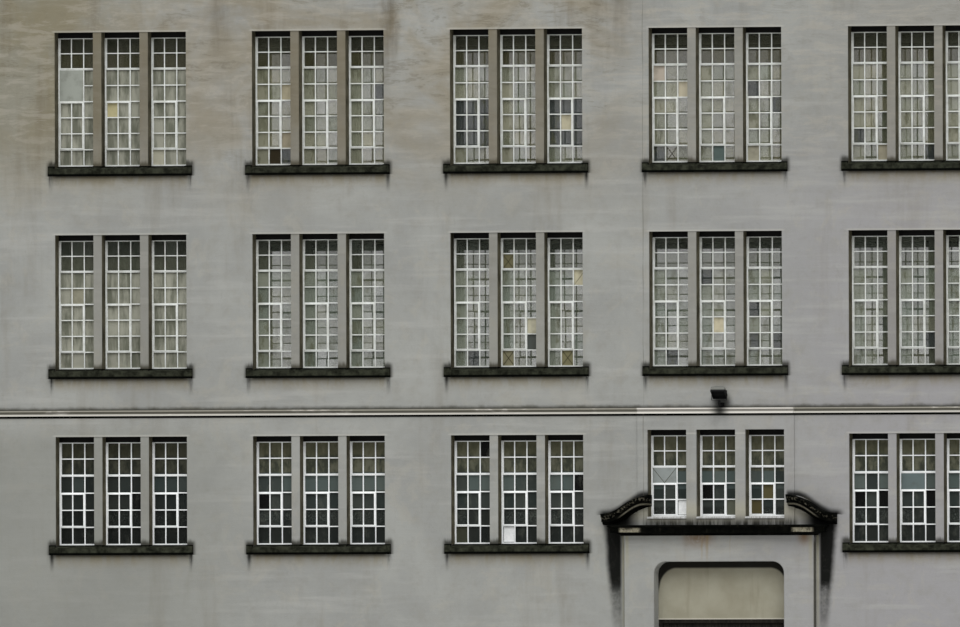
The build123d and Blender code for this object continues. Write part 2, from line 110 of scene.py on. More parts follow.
def tone(*shown):
    """A colour given as it shows on screen, 0 to 255, for the shader."""
    return tuple((v / 255 / 12.92) if v < 10.3 else ((v / 255 + 0.055) / 1.055) ** 2.4 for v in shown)


class Net:
    """Short calls for one material's nodes, with colours as on screen; colour is the coats laid so far."""

    def __init__(self, name, colour=None):
        self.material = bpy.data.materials.new(name)
        self.material.use_nodes = True
        self.tree = self.material.node_tree
        self.tree.nodes.clear()
        self.shader = self.node("BsdfPrincipled")
        self.put(self.node("OutputMaterial").inputs[0], self.shader.outputs[0])
        self.place = self.node("TexCoord").outputs["Object"]
        split = self.node("SeparateXYZ")
        self.put(split.inputs[0], self.place)
        self.x, self.y, self.z = split.outputs
        self.colour = colour

    def node(self, kind):
        return self.tree.nodes.new("ShaderNode" + kind)

    def put(self, socket, value):
        if isinstance(value, bpy.types.NodeSocket):
            self.tree.links.new(value, socket)
        elif socket.type == "RGBA":
            socket.default_value = (*tone(*value), 1)
        else:
            socket.default_value = value

    def math(self, kind, a, b=0.0):
        node = self.node("Math")
        node.operation = kind
        self.put(node.inputs[0], a)
        self.put(node.inputs[1], b)
        return node.outputs[0]

    def fold(self, kind, values):
        result = values[0]
        for value in values[1:]:
            result = self.math(kind, result, value)
        return result

    def add(self, *values):
        return self.fold("ADD", values)

    def mul(self, *values):
        return self.fold("MULTIPLY", values)

    def most(self, *values):
        return self.fold("MAXIMUM", values)

    def sub(self, a, b):
        return self.math("SUBTRACT", a, b)

    def above(self, value, level):
        return self.math("GREATER_THAN", value, level)

    def under(self, value, level):
        return self.math("LESS_THAN", value, level)

    def apart(self, value, middle):
        """Distance of a value from a middle one, on either side."""
        return self.math("ABSOLUTE", self.sub(value, middle))

    def drift(self, pattern, reach):
        """A pattern of 0 to 1 as a small shift to both sides of 0."""
        return self.mul(self.sub(pattern, 0.5), reach)

    def band(self, value, low, high, to_low=0.0, to_high=1.0):
        """Value between low and high mapped smoothly on to to_low and to_high."""
        node = self.node("MapRange")
        node.interpolation_type = "SMOOTHSTEP"
        for socket, number in zip(node.inputs, (value, low, high, to_low, to_high)):
            self.put(socket, number)
        return node.outputs[0]

    def near(self, value, middle, width):
        """1 at a middle value, fading to 0 a width away on both sides."""
        return self.band(self.apart(value, middle), 0.0, width, 1.0, 0.0)

    def below(self, level, length):
        """1 just under a level, fading to 0 a length further down, 0 above it."""
        down = self.sub(level, self.z)
        return self.mul(self.band(down, 0.0, length, 1.0, 0.0), self.above(down, 0.0))

    def noise(self, scale, detail=4.0, rough=0.55, stretch=(1, 1, 1), warp=0.0):
        mapping = self.node("Mapping")
        self.put(mapping.inputs["Vector"], self.place)
        mapping.inputs["Scale"].default_value = stretch
        node = self.node("TexNoise")
        self.put(node.inputs["Vector"], mapping.outputs[0])
        for name, value in zip(("Scale", "Detail", "Roughness", "Distortion"), (scale, detail, rough, warp)):
            node.inputs[name].default_value = value
        return node.outputs[0]

    def mix(self, share, a, b):
        node = self.node("Mix")
        node.data_type = "RGBA"
        self.put(node.inputs[0], share)
        self.put(node.inputs[6], a)
        self.put(node.inputs[7], b)
        return node.outputs[2]

    def coat(self, tint, *shares):
        """Lays a tint over the colour so far, as strongly as the product of the shares."""
        self.colour = self.mix(self.mul(*shares), self.colour, tint)

    def attribute(self, name):
        node = self.node("Attribute")
        node.attribute_name = name
        return node

    def bump(self, height, distance, strength=1.0):
        node = self.node("Bump")
        node.inputs["Strength"].default_value = strength
        node.inputs["Distance"].default_value = distance
        self.put(node.inputs["Height"], height)
        self.put(self.shader.inputs["Normal"], node.outputs[0])

    def finish(self, rough, specular=None):
        self.put(self.shader.inputs["Base Color"], self.colour)
        self.put(self.shader.inputs["Roughness"], rough)
        if specular is not None:
            self.shader.inputs["Specular IOR Level"].default_value = specular
        return self.material


def from_bay(net):
    """Distance along the wall from the nearest bay's middle."""
    share = net.math("ROUND", net.math("DIVIDE", net.x, bay_pitch))
    nearest = net.most(net.math("MINIMUM", share, last_bay), -last_bay)
    return net.apart(net.x, net.mul(nearest, bay_pitch))


def from_surround(net):
    """Distance along the wall from the middle of the entrance surround."""
    return net.apart(net.x, surround_x)


def pediment_ridge(net):
    """Height of the pediment's upper edge over a point of the wall."""
    return net.band(from_surround(net), pediment_start, pediment_end, pediment_inner_top, kneeler_top)


def wall_patterns(net):
    """Noises and zones of the wall that several of its coats share."""
    p = SimpleNamespace()
    p.broad = net.noise(0.45, 5, 0.6, warp=0.4)
    p.streaks = net.noise(1.0, 5, 0.62, stretch=(1.7, 1.7, 0.22))
    p.lifts = net.noise(1.0, 4, 0.5, stretch=(0.5, 0.5, 5.5))
    p.mottle = net.noise(3.2, 6, 0.65)
    p.ragged = net.band(net.noise(1.0, 5, 0.7, stretch=(9, 9, 1.2)), 0.30, 0.6)
    p.soft = net.band(net.noise(2.4, 5, 0.65), 0.33, 0.62)
    p.upper = net.band(net.z, 10.2, 13.2)
    p.left = net.band(net.x, 3.4, 1.4)
    p.long_side = net.under(net.math("ABSOLUTE", net.x), end_wall_outer - 0.005)
    p.front = net.mul(net.under(net.y, 0.0), p.long_side)
    p.offset = from_bay(net)
    beside_entrance = net.above(net.apart(net.x, entrance_x), entrance_zone_half)
    p.has_sill = net.mul(net.most(beside_entrance, net.above(net.z, entrance_zone_top)), p.long_side)
    return p


def wall_render():
    """Old cement render: grey-beige, with damp stains, drips under the sills and algae."""
    net = Net("wall_render")
    p = wall_patterns(net)
    cement(net, p)
    damp(net, p)
    sill_marks(net, p)
    string_and_head_marks(net, p)
    net.coat((9, 10, 8), algae(net, p), p.front)
    entrance_marks(net, p)
    cracks(net)
    inner_faces(net, p)
    grain = net.noise(60, 3, 0.6)
    net.bump(net.add(net.mul(grain, 0.5), net.mul(p.lifts, 1.2), p.mottle), 0.006)
    return net.finish(0.95, specular=0.08)


def cement(net, p):
    """The render itself, patchy, and paler where it was trowelled again."""
    patches = net.noise(1.3, 7, 0.7, warp=1.0)
    net.colour = net.mix(net.band(p.broad, 0.35, 0.66), (142, 143, 140), (153, 154, 150))
    net.coat((148, 147, 148), net.band(net.x, 2.0, 9.0), net.sub(1.0, p.upper))
    net.coat((134, 132, 124), net.band(p.mottle, 0.45, 0.75), 0.35)
    net.coat((164, 164, 160), net.band(p.lifts, 0.5, 0.72), 0.45)
    net.coat((160, 157, 147), net.band(patches, 0.52, 0.62), 0.30)
    net.coat((127, 128, 122), net.band(net.x, -4.5, -8.5), net.band(net.z, 6.5, 5.8), 0.6)
    net.coat((136, 133, 126), net.band(net.x, 5.0, 9.0), p.upper, 0.45)


def damp(net, p):
    """Damp below the parapet: brown to the left, with streaks, furrows and three long runs."""
    brown = net.band(net.noise(0.55, 4, 0.6, warp=0.8), 0.32, 0.6)
    net.coat((133, 124, 104), p.upper, p.left, brown, 0.70)
    net.coat((116, 110, 84), p.upper, net.band(net.x, -7.0, -10.6), 0.5)
    streaked = net.add(0.20, net.mul(p.upper, p.left, 0.32))
    net.coat((110, 102, 86), net.band(p.streaks, 0.52, 0.72), streaked)
    ripples = net.noise(1.0, 8, 0.72, stretch=(1.0, 1.0, 5.0), warp=0.5)
    net.coat((166, 161, 150), net.band(ripples, 0.50, 0.40), p.upper, 0.35)
    furrows = net.mul(net.band(ripples, 0.545, 0.575), net.band(ripples, 0.63, 0.60), p.upper)
    patchy = net.band(p.broad, 0.44, 0.56, 0.25, 1.0)
    net.coat((98, 91, 75), furrows, patchy, net.band(p.left, 0.0, 1.0, 0.16, 0.34))
    run_top = 15.2
    wavy_x = net.add(net.x, net.drift(p.mottle, 0.5))
    broken = net.band(p.streaks, 0.3, 0.6)
    for middle, width, length, share in (
        (-2.75, 0.30, 2.9, 0.75),
        (2.0, 0.55, 3.2, 0.45),
        (-6.5, 0.4, 2.2, 0.5),
    ):
        fade = net.band(net.sub(run_top, net.z), 0.0, length, 1.0, 0.0)
        net.coat((82, 72, 54), net.near(wavy_x, middle, width), p.front, fade, broken, share)
    specks = net.noise(7.0, 6, 0.7)
    net.coat((122, 120, 112), net.band(specks, 0.56, 0.8), 0.25)


def sill_marks(net, p):
    """Under each sill rusty washes, drips at the horns and a black line of painted shadow; over it a black
    fringe.
    """
    wisps = net.band(net.noise(1.0, 5, 0.7, stretch=(3, 3, 1.1), warp=1.5), 0.42, 0.6)
    under_stone = net.band(p.offset, group_half + 0.12, group_half - 0.05)
    horns = net.near(p.offset, group_half + sill_horn - 0.04, 0.07)
    washes = net.most(*[net.below(foot, 0.34) for foot in sill_feet])
    drips = net.most(*[net.below(foot, 0.42) for foot in sill_feet])
    lines = net.most(*[net.below(foot, 0.07) for foot in sill_feet])
    worn = net.add(0.45, net.mul(wisps, 0.5))
    net.coat((130, 120, 94), under_stone, washes, worn, p.has_sill, 0.7)
    net.coat((26, 26, 22), horns, drips, p.ragged, p.has_sill, 0.95)
    # painted shadow: the black line just under each sill's foot
    net.coat((34, 32, 26), under_stone, lines, p.has_sill, 0.8)
    torn_z = net.add(net.z, net.drift(p.ragged, 0.05))
    fringe = net.most(*[
        net.mul(net.band(net.sub(torn_z, top), 0.15, 0.03), net.above(net.z, foot))
        for top, foot in zip(sill_tops, sill_feet)
    ])
    reach = net.band(p.offset, group_half + sill_horn + 0.09, group_half + sill_horn - 0.02)
    net.coat((38, 38, 31), fringe, p.has_sill, reach, 0.85)


def string_and_head_marks(net, p):
    """Dirt lying on the string course, a black painted shadow under it, and pale painted highlights over the
    windows.
    """
    dirt_z = net.sub(net.z, net.drift(p.mottle, 0.10))
    dirt = net.band(dirt_z, string_top + 0.08, string_top - 0.01)
    net.coat((58, 57, 48), dirt, net.above(net.z, string_top - 0.01), p.long_side, 0.8)
    # painted shadow: a near-black band on the wall just under the string course
    string_shadow = net.band(net.z, string_foot - 0.065, string_foot - 0.035)
    net.coat((9, 9, 7), string_shadow, net.under(net.z, string_foot + 0.004), p.front)
    # painted highlight: a pale line over each window head, as light on its arris
    edges = net.most(*[
        net.mul(net.band(net.z, top + 0.05, top + 0.02), net.above(net.z, top)) for top in window_tops
    ])
    over_lights = net.band(p.offset, group_half + 0.1, group_half)
    net.coat((186, 184, 176), edges, over_lights, p.long_side, 0.35)


def algae(net, p):
    """Black growth beside and over the entrance surround, under the windows and round the lamp."""
    away = from_surround(net)
    wobble = net.drift(net.noise(2.2, 5, 0.7), 0.22)

    outer = net.band(net.z, 1.4, 4.2, surround_half + 0.26, surround_half + 0.46)
    outer = net.add(outer, net.mul(wobble, 0.45))
    clear_of_jamb = net.band(away, surround_half + 0.05, surround_half + 0.13)
    beside = net.mul(net.band(net.sub(away, outer), 0.05, -0.10), clear_of_jamb)
    shoulder = net.mul(net.band(away, surround_half + 0.52, surround_half + 0.36), net.band(net.z, 3.70, 4.0))
    off_panel = net.most(net.above(away, surround_half), net.above(net.z, cornice_top - 0.02))
    shoulder = net.mul(shoulder, off_panel, net.band(away, surround_half - 0.45, surround_half))
    upper = net.band(net.add(net.z, net.drift(p.soft, 0.4)), 2.35, 3.15)
    lower = net.mul(net.band(net.z, 1.6, 2.5), net.add(0.30, net.mul(p.soft, 0.42)))
    beside = net.mul(net.most(beside, shoulder), net.most(upper, lower), net.under(net.z, kneeler_top))

    over = net.sub(net.z, net.add(pediment_ridge(net), net.mul(wobble, 0.3)))
    halo = net.mul(net.band(over, 0.13, 0.0), net.above(over, -0.03), net.above(net.z, kneeler_top - 0.05))
    halo = net.mul(halo, net.band(away, 2.72, 2.50), net.band(away, 1.40, 1.48))

    strip = net.mul(net.band(net.z, kneeler_top, kneeler_top - 0.20), net.above(net.z, cornice_top - 0.07))
    strip = net.mul(strip, net.band(away, 1.75, 1.55), net.add(0.35, net.mul(p.ragged, 0.6)))

    from_lamp = distance(net, net.sub(net.x, lamp_x), net.sub(net.z, lamp_foot))
    lamp = net.mul(net.band(net.add(from_lamp, wobble), 0.30, 0.06), 0.85, net.above(net.z, string_top))
    under_lamp = net.mul(net.near(net.x, lamp_x - 0.05, 0.35), net.below(string_foot, 0.4), p.soft, 0.3)
    return net.most(net.mul(beside, 0.985), net.mul(halo, 0.94), strip, lamp, under_lamp)


def distance(net, across, up):
    """Length of the slant from two distances at a right angle."""
    return net.math("POWER", net.add(net.math("POWER", across, 2.0), net.math("POWER", up, 2.0)), 0.5)


def entrance_marks(net, p):
    """Cream left in the tympanum, the joint in the wall, rust under the cornice, lines at the jambs."""
    away = from_surround(net)
    tympanum = net.mul(net.near(net.z, 4.42, 0.32), net.band(away, 2.0, 1.8))
    net.coat((176, 171, 148), tympanum, p.front, 0.5)
    joint_x = 2.74
    joint = net.near(net.add(net.x, net.drift(net.noise(0.8, 2), 0.05)), joint_x, 0.016)
    faint = net.band(net.noise(1.5, 3), 0.3, 0.6, 0.15, 0.55)
    net.coat((84, 82, 74), joint, net.above(net.z, cornice_top), p.front, faint)

    leak = net.band(net.noise(1.0, 5, 0.7, stretch=(3.5, 3.5, 2.2), warp=1.0), 0.36, 0.5)
    arcs = net.mul(net.near(net.x, surround_x - 0.44, 0.50), net.below(cornice_foot, 0.36), leak)
    corner = net.mul(net.near(net.x, surround_x + 1.84, 0.20), net.below(cornice_foot, 0.30))
    net.coat((124, 98, 70), net.most(arcs, corner), p.front, 0.85)
    wavy_x = net.add(net.x, net.drift(p.mottle, 0.08))
    for place, width, share in ((-0.36, 0.035, 0.55), (-0.25, 0.05, 0.7), (0.24, 0.02, 0.3)):
        run = net.mul(net.near(wavy_x, surround_x + place, width), net.below(cornice_foot, 0.75))
        net.coat((142, 124, 92), run, p.front, share)

    edge = net.mul(net.near(away, surround_half - 0.07, 0.07), net.below(cornice_foot, 1.1))
    net.coat((150, 144, 112), edge, p.front, 0.45)
    strip = net.mul(net.near(away, surround_half + 0.045, 0.05), net.band(net.z, 3.9, 1.5, 0.6, 0.2))
    net.coat((150, 146, 118), strip, p.front, net.under(net.z, cornice_foot))
    crease = net.mul(net.near(away, surround_half, 0.022), net.band(net.z, 3.88, 3.7))
    net.coat((60, 58, 46), crease, p.front, 0.8)


def cracks(net):
    """Hair cracks where one noise passes its middle value."""
    level = net.noise(1.1, 8, 0.75, warp=1.2)
    net.coat((96, 94, 88), net.band(level, 0.496, 0.5), net.band(level, 0.504, 0.5), 0.25)


def inner_faces(net, p):
    """Reveals painted dark as shade, with darker streaks, mullions duller than the wall, and old whitewash in
    the rooms.
    """
    inward = net.sub(-front_y, net.math("ABSOLUTE", net.y))
    indoors = net.under(net.math("ABSOLUTE", net.x), end_wall_inner + 0.1)
    indoors = net.mul(indoors, net.under(net.z, roof_top))
    reveal = net.mix(p.soft, (66, 63, 50), (98, 94, 78))
    reveal = net.mix(net.band(p.streaks, 0.55, 0.7), reveal, (40, 38, 28))
    # painted shade: the window reveals darkened as they lie in shade
    shaded_reveal = net.mul(net.band(inward, 0.020, 0.045), net.band(inward, 0.50, 0.45), indoors)
    net.coat(reveal, shaded_reveal, net.above(net.z, ground_sill - 0.01))
    mullion = net.mul(net.band(inward, 0.008, 0.013), net.band(inward, 0.030, 0.020))
    dullness = net.add(net.band(net.z, 6.3, 7.5, 0.05, 0.30), net.mul(p.upper, p.left, 0.40))
    net.coat((104, 98, 82), mullion, dullness)
    whitewash = net.mix(p.soft, (232, 230, 214), (196, 193, 176))
    net.coat(whitewash, net.band(inward, 0.44, 0.46), indoors)


def sill_stone():
    """Long sills, dark with soot and lichen, paler on the face; black along the top with weathering, and
    black on the lower rim and underside as painted shade.
    """
    net = Net("sill_stone")
    soot = net.noise(6.0, 7, 0.7)
    runs = net.noise(1.0, 5, 0.65, stretch=(9, 9, 1.5))
    specks = net.noise(38, 4, 0.7)
    net.colour = net.mix(net.band(soot, 0.35, 0.7), (22, 23, 18), (56, 58, 48))
    net.coat((66, 67, 58), net.band(runs, 0.52, 0.75), 0.35)
    net.coat((84, 86, 72), net.band(specks, 0.6, 0.78), 0.5)
    for top, foot in zip(sill_tops, sill_feet):
        # painted shade: the lower rim and underside black; the black line at the top is weathering
        shaded_low_rim = net.mul(net.band(net.z, foot + 0.058, foot + 0.036), net.above(net.z, foot - 0.05))
        net.coat((3, 4, 3), net.most(shaded_low_rim, net.near(net.z, top - 0.010, 0.030)), 0.97)
    net.bump(net.add(soot, net.mul(specks, 0.5)), 0.006)
    return net.finish(1.0, specular=0.02)


def black_moulding():
    """Cornice and pediment, black with growth, with cream render left in places and a pale painted highlight
    along the pediment's lower moulding.
    """
    net = Net("black_moulding")
    away = from_surround(net)
    growth = net.noise(4.5, 7, 0.72)
    fine = net.noise(26, 5, 0.7)
    runs = net.noise(1.0, 4, 0.6, stretch=(14, 14, 2))
    net.colour = net.mix(net.band(growth, 0.4, 0.7), (4, 5, 4), (17, 17, 14))
    net.coat((70, 68, 58), net.band(runs, 0.60, 0.75), 0.18)
    cream = net.mix(net.band(fine, 0.4, 0.7), (150, 145, 128), (104, 98, 82))
    clean_ends = net.mul(net.band(away, 1.60, 1.70), net.band(away, 2.12, 2.04))
    fascia = net.mul(net.band(net.z, 3.962, 3.972), net.band(net.z, 4.068, 4.050))
    patch = net.mul(clean_ends, fascia, net.band(growth, 0.46, 0.6, 1.0, 0.2))
    from_ridge = net.sub(pediment_ridge(net), net.z)
    # painted highlight: a pale line along the pediment's lower moulding
    fillet_highlight = net.mul(net.near(from_ridge, 0.20, 0.03), net.band(away, 2.2, 2.0), 0.45)
    blocks = net.band(net.noise(1.0, 3, 0.5, stretch=(22, 1, 22)), 0.52, 0.56)
    blocks = net.mul(blocks, net.near(from_ridge, 0.09, 0.06), 0.35)
    net.coat(cream, net.most(patch, fillet_highlight, blocks))
    net.bump(net.add(growth, net.mul(fine, 0.6)), 0.008)
    return net.finish(1.0, specular=0.02)


def string_render():
    """String course: pale limewashed fillets, dark in the sunk line and on top."""
    net = Net("string_render")
    wear = net.noise(1.6, 6, 0.7, stretch=(1, 1, 4))
    fine = net.noise(22, 5, 0.7)
    over_entrance = net.band(net.apart(net.x, entrance_x), 1.72, 1.66)
    bright = net.most(over_entrance, net.band(wear, 0.55, 0.75))
    net.colour = net.mix(bright, (146, 143, 132), (214, 210, 202))
    net.coat((96, 92, 80), net.band(fine, 0.58, 0.78), 0.4)
    up = net.sub(net.z, string_foot)
    net.coat((214, 211, 204), net.band(up, 0.040, 0.034), 0.6)
    net.coat((40, 38, 32), net.band(up, 0.034, 0.044), net.band(up, 0.092, 0.080), 0.55)
    net.coat((36, 35, 29), net.band(net.z, string_top - 0.022, string_top - 0.006), 0.92)
    net.coat((34, 35, 33), net.near(net.x, lamp_x - 0.03, 0.26), 0.9)
    net.bump(net.add(wear, fine), 0.003)
    return net.finish(0.9, specular=0.1)


def cast_concrete(name, light, dark):
    net = Net(name)
    broad = net.noise(0.5, 5, 0.6)
    fine = net.noise(14, 6, 0.7)
    net.colour = net.mix(net.band(broad, 0.35, 0.7), light, dark)
    net.coat(dark, net.band(fine, 0.5, 0.75), 0.4)
    net.bump(fine, 0.004)
    return net.finish(0.9, specular=0.25)


def shaded_head_members(net):
    """1 on the head member of every light, painted black as the shade under its lintel."""
    def member(top):
        foot = top - head_face
        return net.mul(net.band(net.z, foot - 0.010, foot + 0.003), net.under(net.z, top))

    plain = net.most(*[member(top) for top in window_tops])
    at_entrance = net.mul(net.under(net.z, entrance_zone_top), net.under(net.y, 0.0))
    at_entrance = net.mul(net.under(net.apart(net.x, entrance_x), entrance_zone_half), at_entrance)
    own = net.mul(member(entrance_sill + entrance_height), at_entrance)
    return net.most(net.mul(plain, net.sub(1.0, at_entrance)), own)


def bar_paint():
    """White paint on steel bars, chalky, with dirt and a little rust; the heads are painted black as shade
    under the lintels.
    """
    net = Net("bar_paint")
    dirt = net.band(net.noise(5.0, 5, 0.7), 0.35, 0.7)
    chips = net.noise(30, 5, 0.75)
    net.colour = net.mix(dirt, (228, 231, 228), (204, 206, 200))
    ground_row = net.band(net.z, 6.4, 6.2)
    net.coat(net.mix(dirt, (252, 254, 254), (238, 241, 241)), ground_row)
    net.coat((104, 96, 82), net.band(chips, 0.62, 0.74), 0.6)
    # painted shade: the head members black, as in the shade under the lintels
    net.coat((9, 9, 7), shaded_head_members(net))
    net.bump(chips, 0.0012)
    return net.finish(0.75, specular=0.15)


def pane_values(net):
    """The three random values of each pane, and 1 in the column nearest the left jamb, whose denser film is
    dust and painted light over the shaded far mullion seen through it.
    """
    split = net.node("SeparateColor")
    values = net.attribute("pane")
    net.put(split.inputs[0], values.outputs["Color"])
    return (*split.outputs[:3], net.sub(1.0, values.outputs["Alpha"]))


# Top of the light, film on its highest and second row, and how dense the film is there; these films are
# painted shade, the unlit ceiling seen through the panes
SHADED_TOP_ROWS = [
    (second_sill + upper_height, (74, 75, 62), (62, 59, 36), 0.34, 0.42),
    (first_sill + upper_height, (92, 97, 87), (96, 100, 84), 0.18, 0.24),
]


def upper_panes():
    """Old panes with a film of dirt, darkened under the heads as painted shade of the ceiling seen through;
    the far side's are the duller ones.
    """
    net = Net("upper_panes")
    pick, dust, tint, jamb_side = pane_values(net)
    smear = net.noise(9, 5, 0.65, stretch=(1, 1, 0.5))
    patches = net.noise(2.2, 4, 0.6)
    net.colour = net.mix(tint, (132, 139, 115), (166, 161, 128))
    net.coat((184, 181, 154), net.band(patches, 0.5, 0.7), 0.5)
    # painted light: a denser, paler film by the left jamb hides the shaded far mullion seen through
    net.coat(net.mix(dust, (132, 136, 118), (160, 157, 136)), jamb_side, 0.75)
    cooler_below = 10.8
    net.coat((110, 130, 130), net.band(net.z, cooler_below, cooler_below - 0.4, 0.10, 0.38))
    dark = net.under(pick, dark_pick)
    dusty = net.above(pick, 0.93)
    share = net.add(0.13, net.mul(dust, 0.12), net.mul(net.band(smear, 0.42, 0.72), 0.10))
    share = net.most(share, net.mul(dusty, 0.36), net.mul(dark, 0.50))
    net.coat((66, 71, 69), dark)
    share = net.most(share, net.mul(jamb_side, net.add(0.42, net.mul(dust, 0.16))))
    grimy = net.band(net.noise(1.0, 5, 0.7, stretch=(6, 6, 2.4)), 0.50, 0.64)
    net.coat((92, 93, 70), grimy, 0.7)
    share = net.add(share, net.mul(grimy, 0.14))

    # The panes beyond which the end wall stands show no daylight through the far windows, so a pale film of
    # painted daylight is laid on them
    painted_daylight_zone = net.band(net.x, -6.3, -6.9)
    panels = net.noise(1.0, 4, 0.6, stretch=(5, 5, 1.1))
    worn = net.band(net.add(panels, net.mul(dust, 0.16)), 0.46, 0.72)
    net.coat(net.mix(worn, (170, 170, 156), (116, 118, 104)), painted_daylight_zone)
    share = net.most(share, net.mul(painted_daylight_zone, 0.72))

    # painted shade: the top two rows darkened as the unlit ceiling seen through them
    for head, top_film, next_film, top_share, next_share in SHADED_TOP_ROWS:
        down = net.sub(head, net.z)
        in_storey = net.mul(net.above(down, 0.0), net.under(down, upper_height))
        top_row = net.mul(net.band(down, 0.46, 0.44), in_storey)
        next_row = net.mul(net.band(down, 0.82, 0.79), net.sub(1.0, top_row), in_storey)
        net.coat(top_film, top_row)
        net.coat(next_film, next_row, 0.85)
        share = net.mix(top_row, share, net.add(top_share, net.mul(dust, 0.2)))
        share = net.mix(next_row, share, net.add(next_share, net.mul(dust, 0.14)))

    far_side = net.above(net.y, 0.0)
    far_share = net.add(0.40, net.mul(dust, 0.12))
    share = net.add(net.mul(far_side, far_share), net.mul(net.sub(1.0, far_side), share))
    net.put(net.shader.inputs["Alpha"], net.math("MINIMUM", share, 0.9))
    net.bump(smear, 0.002, 0.4)
    return net.finish(0.25, specular=0.06)


def ground_panes():
    """Panes of the dark entrance storey: grey-green and nearly opaque as painted shade of the unlit rooms
    behind, olive at the top and a teal row as painted reflections, blacker low down.
    """
    net = Net("ground_panes")
    pick, dust, tint = pane_values(net)[:3]
    smear = net.noise(6, 5, 0.65, stretch=(1, 1, 0.5))
    # painted shade: near-opaque dark glass for the unlit rooms behind
    net.colour = net.mix(tint, (44, 51, 49), (64, 68, 64))
    ribbed_middle, low_row_top, teal_row_middle, olive_foot, top_row_foot = 4.32, 4.50, 5.06, 5.25, 5.62
    # painted reflection: olive in the top rows of the lights
    olive = net.mix(net.band(smear, 0.36, 0.64), (56, 59, 50), (98, 98, 82))
    net.coat(olive, net.band(net.z, olive_foot - 0.03, olive_foot + 0.03))
    net.coat((92, 90, 68), net.band(net.z, top_row_foot - 0.04, top_row_foot + 0.04), 0.5)
    low_row = net.band(net.z, low_row_top + 0.04, low_row_top - 0.04)
    net.coat(net.mix(smear, (14, 17, 15), (40, 43, 40)), low_row, 0.75)
    # painted reflection: a teal row lower in the lights
    teal_row = net.band(net.apart(net.z, teal_row_middle), 0.20, 0.17)
    net.coat(net.mix(tint, (78, 90, 88), (94, 104, 100)), teal_row, net.band(dust, 0.15, 0.4), 0.75)
    ribbed = net.mul(net.band(net.noise(40, 3, 0.7), 0.52, 0.6), net.near(net.z, ribbed_middle, 0.24))
    net.coat((96, 102, 98), ribbed, net.band(pick, 0.45, 0.5), 0.6)
    net.coat((14, 15, 14), net.under(pick, dark_pick))
    net.coat((90, 92, 84), net.band(smear, 0.5, 0.8), 0.5)
    net.coat((14, 16, 14), net.band(net.x, -5.5, -6.5), 0.55)
    net.put(net.shader.inputs["Alpha"], 0.94)
    net.bump(smear, 0.002, 0.4)
    return net.finish(0.3, specular=0.06)


def painted_wood(name, light, dark):
    net = Net(name)
    boards = net.noise(1.0, 5, 0.6, stretch=(30, 30, 1.6))
    wear = net.noise(8, 5, 0.7)
    net.colour = net.mix(net.band(boards, 0.35, 0.7), light, dark)
    net.coat(dark, net.band(wear, 0.55, 0.75), 0.5)
    net.bump(net.add(boards, net.mul(wear, 0.3)), 0.0015)
    return net.finish(0.8, specular=0.08)


def weathered_metal(name, light, dark, rust_share=0.3, sky_lit_top=None):
    """Painted metal; above a level a lighter colour is painted as the top lit by the sky, as on the
    floodlight.
    """
    net = Net(name)
    wear = net.noise(30, 5, 0.7)
    drops = net.noise(90, 3, 0.6)
    net.colour = net.mix(net.band(wear, 0.35, 0.7), light, dark)
    net.coat((92, 60, 38), net.band(drops, 0.6, 0.75), rust_share)
    if sky_lit_top:
        # painted light: the top of the floodlight lighter, as lit by the sky
        net.coat(sky_lit_top, net.band(net.z, lamp_lit_top_low, lamp_lit_top_low + 0.02), 0.9)
    net.bump(wear, 0.0008)
    return net.finish(0.8, specular=0.1)


def cream_infill():
    """Cream painted render over the doors, streaked where water runs, black under the soffit."""
    net = Net("cream_infill")
    broad = net.noise(0.9, 5, 0.6)
    runs = net.noise(1.0, 5, 0.6, stretch=(5, 5, 0.5))
    net.colour = net.mix(net.band(broad, 0.35, 0.7), (154, 151, 135), (138, 134, 117))
    net.coat((112, 106, 88), net.band(runs, 0.52, 0.75), 0.35)
    shade_top = recess_head - soffit_depth
    taper = net.band(net.z, 2.55, shade_top, 0.0, 0.09)
    across = net.sub(net.add(from_surround(net), taper), recess_half - shade_radius)
    up = net.sub(net.z, shade_top - shade_radius)
    reach = distance(net, net.most(across, 0.0), net.most(up, 0.0))
    net.coat((7, 7, 6), net.band(net.sub(reach, shade_radius), -0.01, 0.04), 0.96)
    net.coat((196, 192, 180), net.band(net.z, 2.175, 2.15), 0.7)
    net.bump(net.add(broad, runs), 0.003)
    return net.finish(0.9, specular=0.1)


def plain_paper():
    net = Net("plain_paper")
    creases = net.noise(14, 4, 0.6)
    net.bump(creases, 0.002)
    net.colour = net.mix(net.band(creases, 0.3, 0.7), (244, 245, 244), (226, 228, 228))
    return net.finish(0.8)


def board_finish():
    """Boards and painted panes, each in its own colour from the mesh."""
    net = Net("board_finish")
    smear = net.noise(5, 4, 0.55)
    net.colour = net.attribute("sheet").outputs["Color"]
    net.coat((70, 68, 58), net.band(smear, 0.45, 0.75), 0.3)
    net.bump(smear, 0.001)
    return net.finish(0.6, specular=0.1)


def tape_finish():
    net = Net("tape_finish")
    wear = net.noise(40, 4, 0.6)
    net.bump(wear, 0.0005)
    net.colour = net.mix(wear, (44, 42, 30), (70, 66, 48))
    return net.finish(0.8, specular=0.1)


wall = wall_render()
stone = sill_stone()
moulding = black_moulding()
string = string_render()
slab_concrete = cast_concrete("slab_concrete", (120, 118, 110), (92, 90, 84))
coping_stone = cast_concrete("coping_stone", (112, 112, 104), (66, 66, 58))
roof_felt = cast_concrete("roof_felt", (84, 84, 82), (62, 62, 60))
step_stone = cast_concrete("step_stone", (118, 114, 104), (70, 68, 60))
paint = bar_paint()
upper_glass = upper_panes()
ground_glass = ground_panes()
infill = cream_infill()
white_timber = painted_wood("white_timber", (206, 208, 208), (150, 148, 140))
